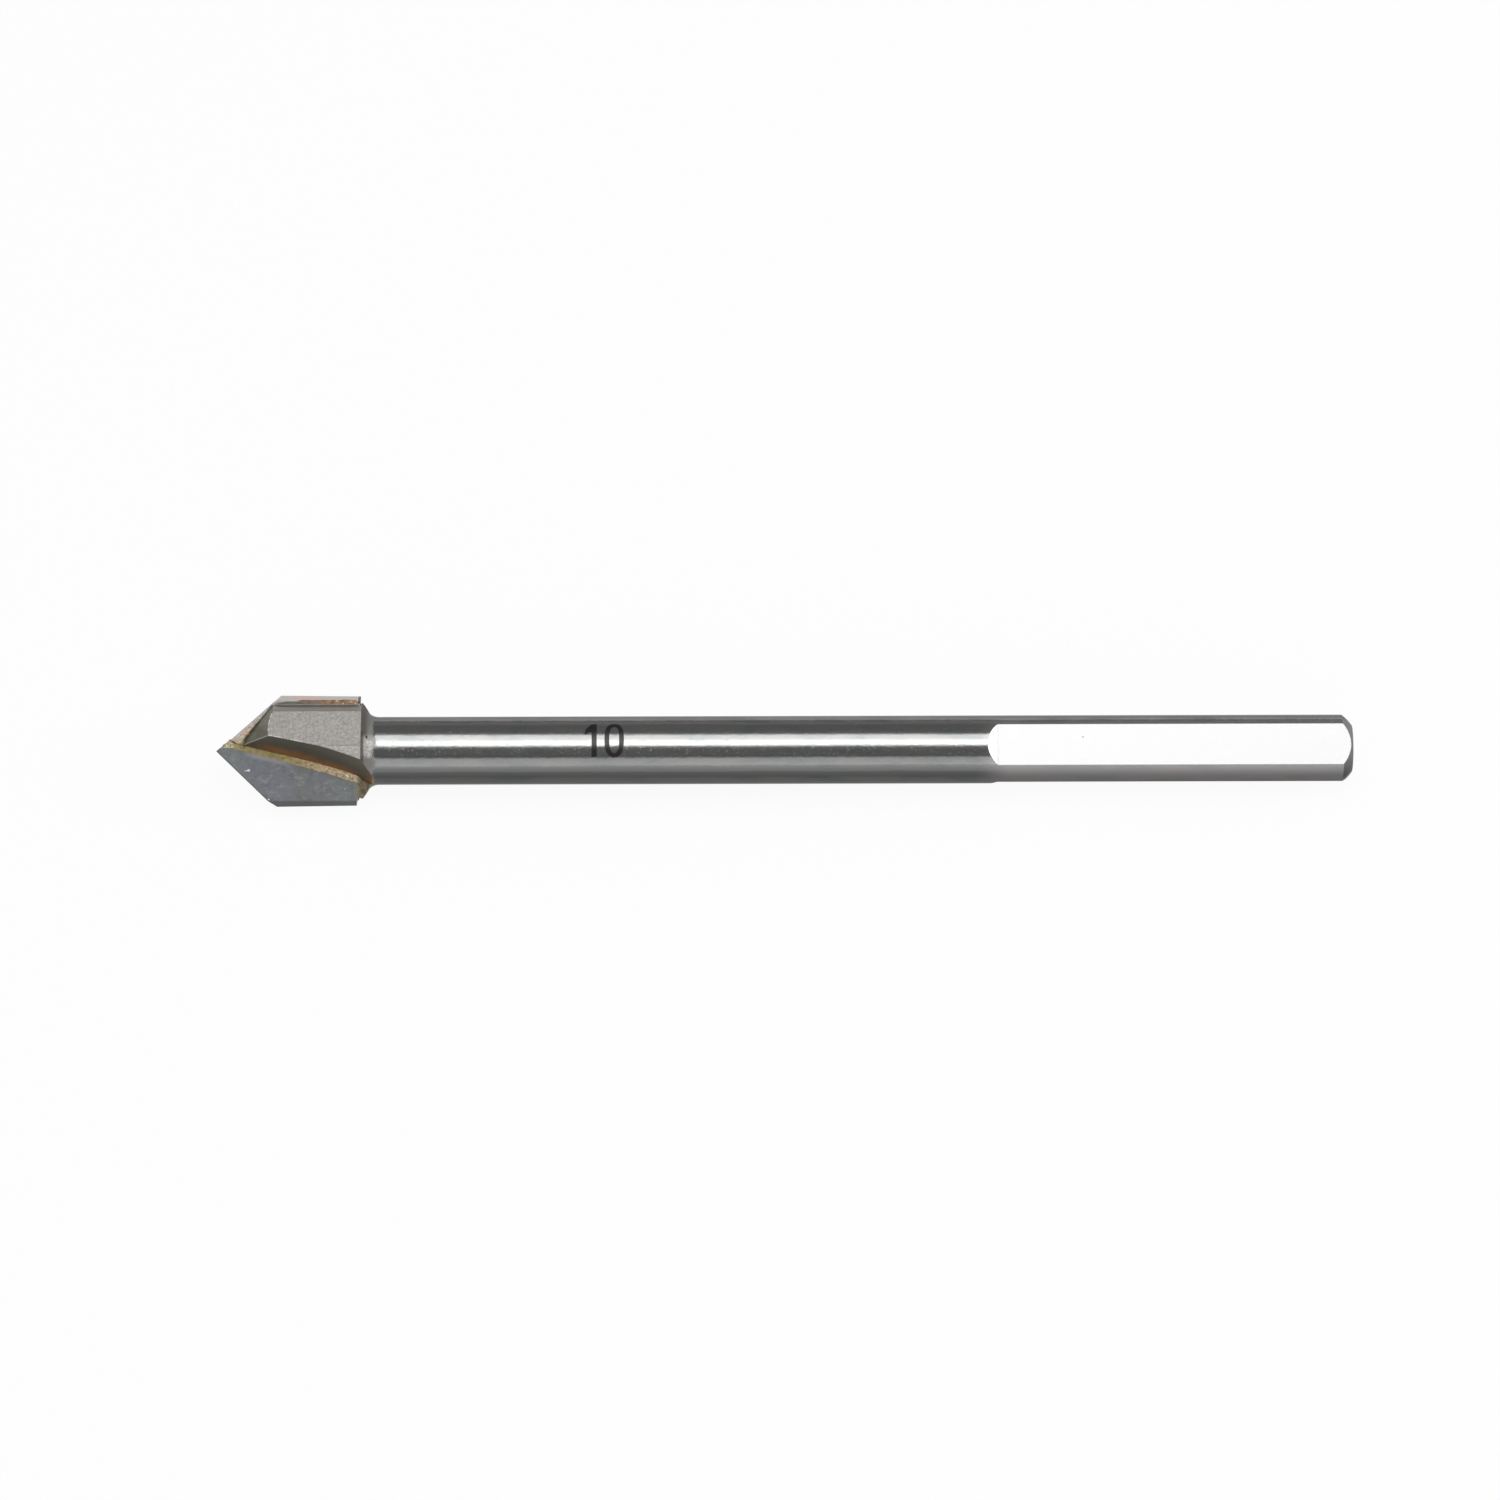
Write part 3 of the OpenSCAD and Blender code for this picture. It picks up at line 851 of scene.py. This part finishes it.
def twoSheets(rows, cols):
    # faces of a sheet of points, of its twin that comes after it, and of the rim between them
    row, twin = cols + 1, (rows + 1) * (cols + 1)
    faces = []
    for i in range(rows):
        for k in range(cols):
            q = [i * row + k, i * row + k + 1, (i + 1) * row + k + 1, (i + 1) * row + k]
            faces += [q, [v + twin for v in q][::-1]]
        for k in (0, cols):
            faces.append([i * row + k, (i + 1) * row + k, (i + 1) * row + k + twin, i * row + k + twin])
    for i in (0, rows):
        for k in range(cols):
            faces.append([i * row + k, i * row + k + 1, i * row + k + 1 + twin, i * row + k + twin])
    return faces


layers = {
    # the filler between plate and slot, keeping a little off the nose and the wall
    "slot": {"noseStart": 2.25, "footStart": 2.26, "footEnd": 12.45, "keepOff": 0.01},
    # lumpy wedge between the plate's rear edge and the end of the slot
    "wedge": {"end": rearX(4.0) + 0.1, "half": 4.12, "rim": 4.14, "face": 0.95, "lump": 0.05,
              "lap": 0.01, "across": 70, "along": 7},
    # filler that ran on over the heel behind the plate, down to the neck
    "apron": {"start": 12.62, "long": 0.86, "heelAt": 12.84, "heelSlope": math.tan(math.radians(54)),
              "rim": 4.16, "swell": 0.10, "edge": 0.3, "inner": 2.35, "face": 0.97, "lump": 0.05,
              "sag": 0.13, "thick": 0.16, "drawIn": 0.97, "across": 30, "along": 16},
}


def lumpAt(x, y, side=1):
    return noise.noise(Vector((x * 3.1, y * 2.3, side * 5.0)))


def runWedge():
    wedge = layers["wedge"]
    verts = []
    for side in (1, -1):
        for i in range(wedge["across"] + 1):
            y = -wedge["half"] + 2 * wedge["half"] * i / wedge["across"]
            run = wedge["end"] - rearX(y) + 2 * wedge["lap"]
            for k in range(wedge["along"] + 1):
                x = rearX(y) - wedge["lap"] + run * k / wedge["along"]
                rim = math.sqrt(wedge["rim"] ** 2 - y * y)
                verts.append((x, y, side * min(wedge["face"] + wedge["lump"] * lumpAt(x, y, side), rim)))
    return verts, twoSheets(wedge["across"], wedge["along"])


def runApron():
    apron = layers["apron"]
    verts = []
    for i in range(apron["along"] + 1):
        t = i / apron["along"]
        x = apron["start"] + apron["long"] * t
        rim = apron["rim"] - max(0.0, x - apron["heelAt"]) * apron["heelSlope"]
        rim += apron["swell"] * math.sin(math.pi * t)
        outer = math.sqrt(rim ** 2 - apron["edge"] ** 2)
        for k in range(apron["across"] + 1):
            y = -outer + (outer - apron["inner"]) * (k / apron["across"])
            z = apron["face"] - apron["sag"] * t ** 2 + apron["lump"] * lumpAt(x, y)
            verts.append((x, y, min(z, math.sqrt(rim ** 2 - y * y))))
    verts += [(x, y * apron["drawIn"], z - apron["thick"]) for x, y, z in verts]
    return verts, twoSheets(apron["along"], apron["across"])


def makeLayers(mat):
    slot = layers["slot"]
    outline = []
    for x in spread(slot["noseStart"], head["noseEnd"], 24):
        outline.append((x, noseY(x) - slot["keepOff"]))
    topY = math.sqrt(head["headR"] ** 2 - head["slotFace"] ** 2)
    outline.append((rearX(topY), topY))
    for x in spread(slot["footEnd"], slot["footStart"], 40):
        outline.append((x, footY(x) + slot["keepOff"]))
    verts, faces = bothSides(*slab(outline, head["plateFace"], head["slotFace"]))
    verts, faces = withMore(verts, faces, *runWedge())
    verts, faces = withMore(verts, faces, *bothSides(*runApron()))
    obj = addPiece("brazeLayers", verts, faces, mat, "braze")
    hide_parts("braze")


# plain size number on the shank
mark = {
    "ink": (0.010, 0.008, 0.008),
    "inkWorn": (0.035, 0.030, 0.028),
    "shankR": 3.0,
    "thick": 0.006,
    "sink": -0.004,
    "low": -0.60,
    "high": 2.61,
    "oneStem": (33.04, 33.49),
    "oneFlag": (32.43, 1.42, 1.78),
    "flagRise": 0.30,
    "flagBend": 0.8,
    "zeroLeft": 34.17,
    "zeroRight": 35.88,
    "zeroSide": 0.42,
    "zeroTop": 0.36,
    "zeroSquare": 2.5,
    # cloud: scale, detail and roughness
    "wear": (7.0, 3, 0.65),
}


def onShank(x, arc, lift):
    a = arc / mark["shankR"]
    r = mark["shankR"] + lift
    return (x, r * math.sin(a), r * math.cos(a))


def stripOnShank(rails):
    # rails are pairs of (x, arc) from one end of a stroke to the other
    verts, faces = [], []
    for (xa, aa), (xb, ab) in rails:
        verts += [onShank(xa, aa, mark["thick"]), onShank(xb, ab, mark["thick"]),
                  onShank(xb, ab, mark["sink"]), onShank(xa, aa, mark["sink"])]
    for k in range(len(rails) - 1):
        for i in range(4):
            j = (i + 1) % 4
            faces.append([k * 4 + i, k * 4 + j, k * 4 + 4 + j, k * 4 + 4 + i])
    if rails[0] == rails[-1]:
        return verts, faces
    return verts, faces + [[0, 1, 2, 3], [len(verts) - 4 + i for i in (3, 2, 1, 0)]]


def finishInk():
    mat, tree, bsdf = newFinish("markingInk")
    where = bitSpace(tree)[0]
    worn = cloud(tree, where, *mark["wear"])
    col = tint(tree, fade(tree, worn, 0.55, 0.75), mark["ink"], mark["inkWorn"])
    wire(tree, col, bsdf.inputs["Base Color"])
    wire(tree, plus(tree, times(tree, worn, 0.2), 0.2), bsdf.inputs["Roughness"])
    bsdf.inputs["Specular IOR Level"].default_value = 0.45
    wire(tree, relief(tree, worn, 0.004), bsdf.inputs["Normal"])
    return mat


def makeMark():
    left, right = mark["oneStem"]
    parts = [stripOnShank([((left, a), (right, a)) for a in spread(mark["low"], mark["high"], 24)])]
    # the flag of the one, in four strips that follow the round
    flagX, flagLow, flagHigh = mark["oneFlag"]
    strips = 4
    for k in range(strips):
        rails = []
        for t in spread(0, 1, 12):
            x = flagX + (left + 0.02 - flagX) * t
            low = flagLow + mark["flagRise"] * t
            high = flagHigh + (mark["high"] - flagHigh) * t ** mark["flagBend"]
            rails.append(((x, low + (high - low) * k / strips), (x, low + (high - low) * (k + 1) / strips)))
        parts.append(stripOnShank(rails))
    # the zero, a ring that is squarer than an ellipse
    cx, cy = (mark["zeroLeft"] + mark["zeroRight"]) / 2, (mark["low"] + mark["high"]) / 2
    ax, ay = (mark["zeroRight"] - mark["zeroLeft"]) / 2, (mark["high"] - mark["low"]) / 2
    square, turns = mark["zeroSquare"], 72
    rails = []
    for i in range(turns + 1):
        a = 2 * math.pi * (i % turns) / turns
        c, s = math.cos(a), math.sin(a)
        k = 1 / (abs(c) ** square + abs(s) ** square) ** (1 / square)
        rails.append(((cx + ax * c * k, cy + ay * s * k),
                      (cx + (ax - mark["zeroSide"]) * c * k, cy + (ay - mark["zeroTop"]) * s * k)))
    parts.append(stripOnShank(rails))
    verts, faces = [], []
    for part in parts:
        verts, faces = withMore(verts, faces, *part)
    addPiece("sizeMark", verts, faces, finishInk(), smooth=False)


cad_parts["drill_body"].data.materials[0] = finishSteel()
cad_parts["carbide_plate"].data.materials[0] = finishCarbide()
print("steel and carbide finished")
brazeMat = finishBraze()
makeLayers(brazeMat)
makeBeads(brazeMat)
makeSeams(brazeMat)
print("braze run")
makeMark()
print("size number marked")


# pale floor, white to the camera apart from the bit's shadow
floor = {"size": 6.0, "colour": (0.95, 0.95, 0.95), "ownWhite": 0.93}


def makeFloor():
    half = floor["size"] / 2
    mesh = bpy.data.meshes.new("floor")
    corners = [(-half, -half, 0), (half, -half, 0), (half, half, 0), (-half, half, 0)]
    mesh.from_pydata(corners, [], [(0, 1, 2, 3)])
    obj = bpy.data.objects.new("floor", mesh)
    scene.collection.objects.link(obj)
    mat = bpy.data.materials.new("paleFloor")
    mat.use_nodes = True
    tree = mat.node_tree
    tree.nodes.clear()
    out = tree.nodes.new("ShaderNodeOutputMaterial")
    matt = tree.nodes.new("ShaderNodeBsdfDiffuse")
    matt.inputs["Color"].default_value = (*floor["colour"], 1)
    white = tree.nodes.new("ShaderNodeEmission")
    white.inputs["Color"].default_value = (1, 1, 1, 1)
    white.inputs["Strength"].default_value = 1.0
    path = tree.nodes.new("ShaderNodeLightPath")
    seen = most(tree, path.outputs["Is Camera Ray"], path.outputs["Is Glossy Ray"])
    seen = most(tree, seen, path.outputs["Is Transmission Ray"])
    mix = tree.nodes.new("ShaderNodeMixShader")
    tree.links.new(times(tree, seen, floor["ownWhite"]), mix.inputs[0])
    tree.links.new(matt.outputs[0], mix.inputs[1])
    tree.links.new(white.outputs[0], mix.inputs[2])
    tree.links.new(mix.outputs[0], out.inputs[0])
    mesh.materials.append(mat)


# soft boxes, each facing the bit from the way given
lamps = {
    "overhead": {"way": (0, -0.122, 0.993), "wide": 0.44, "deep": 0.262, "glow": 3.8},
    "behind": {"way": (0, 0.225, 0.974), "wide": 0.44, "deep": 0.262, "glow": 2.28},
    "front": {"way": (0, -0.956, 0.292), "wide": 0.6, "deep": 0.42, "glow": 1.26},
    "side": {"way": (0.92, 0.02, 0.40), "wide": 0.30, "deep": 0.30, "glow": 4.9},
}
room = {"colour": (0.25, 0.25, 0.25), "ends": (0.55, 0.55, 0.55), "endsFrom": (0.3, 0.6), "lampsAt": 0.75}


def makeLamps():
    for name, lamp in lamps.items():
        data = bpy.data.lights.new(name, "AREA")
        data.shape = "RECTANGLE"
        data.size, data.size_y = lamp["wide"], lamp["deep"]
        data.energy = lamp["glow"] * math.pi * lamp["wide"] * lamp["deep"]
        obj = bpy.data.objects.new(name, data)
        way = Vector(lamp["way"]).normalized()
        obj.location = way * room["lampsAt"]
        obj.rotation_euler = way.to_track_quat("Z", "Y").to_euler()
        scene.collection.objects.link(obj)
    world = bpy.data.worlds.new("studio")
    scene.world = world
    world.use_nodes = True
    # the room is lighter towards both ends of the bit
    tree = world.node_tree
    parts = tree.nodes.new("ShaderNodeSeparateXYZ")
    tree.links.new(tree.nodes.new("ShaderNodeTexCoord").outputs["Generated"], parts.inputs[0])
    ends = fade(tree, sizeOf(tree, parts.outputs[0]), *room["endsFrom"])
    wire(tree, tint(tree, ends, room["colour"], room["ends"]), tree.nodes["Background"].inputs["Color"])
    tree.nodes["Background"].inputs["Strength"].default_value = 1.0


# camera above the front of the bit, aimed at a place along it
view = {"elevation": 58.0, "distance": 0.635, "lens": 172.9, "sensor": 36, "aimX": 46.96, "roll": 0.41}


def makeCamera():
    data = bpy.data.cameras.new("camera")
    data.lens = view["lens"]
    data.sensor_width = view["sensor"]
    data.clip_start = 0.01
    data.clip_end = 20
    obj = bpy.data.objects.new("camera", data)
    scene.collection.objects.link(obj)
    aim = bitToRow @ Vector((view["aimX"], 0, 0))
    e = math.radians(view["elevation"])
    back = Vector((0, -math.cos(e), math.sin(e)))
    turn = (-back).to_track_quat("-Z", "Y").to_matrix().to_4x4()
    roll = Matrix.Rotation(math.radians(-view["roll"]), 4, "Z")
    obj.matrix_world = Matrix.Translation(aim + back * view["distance"]) @ turn @ roll
    scene.camera = obj


makeFloor()
makeLamps()
makeCamera()
print("studio set")
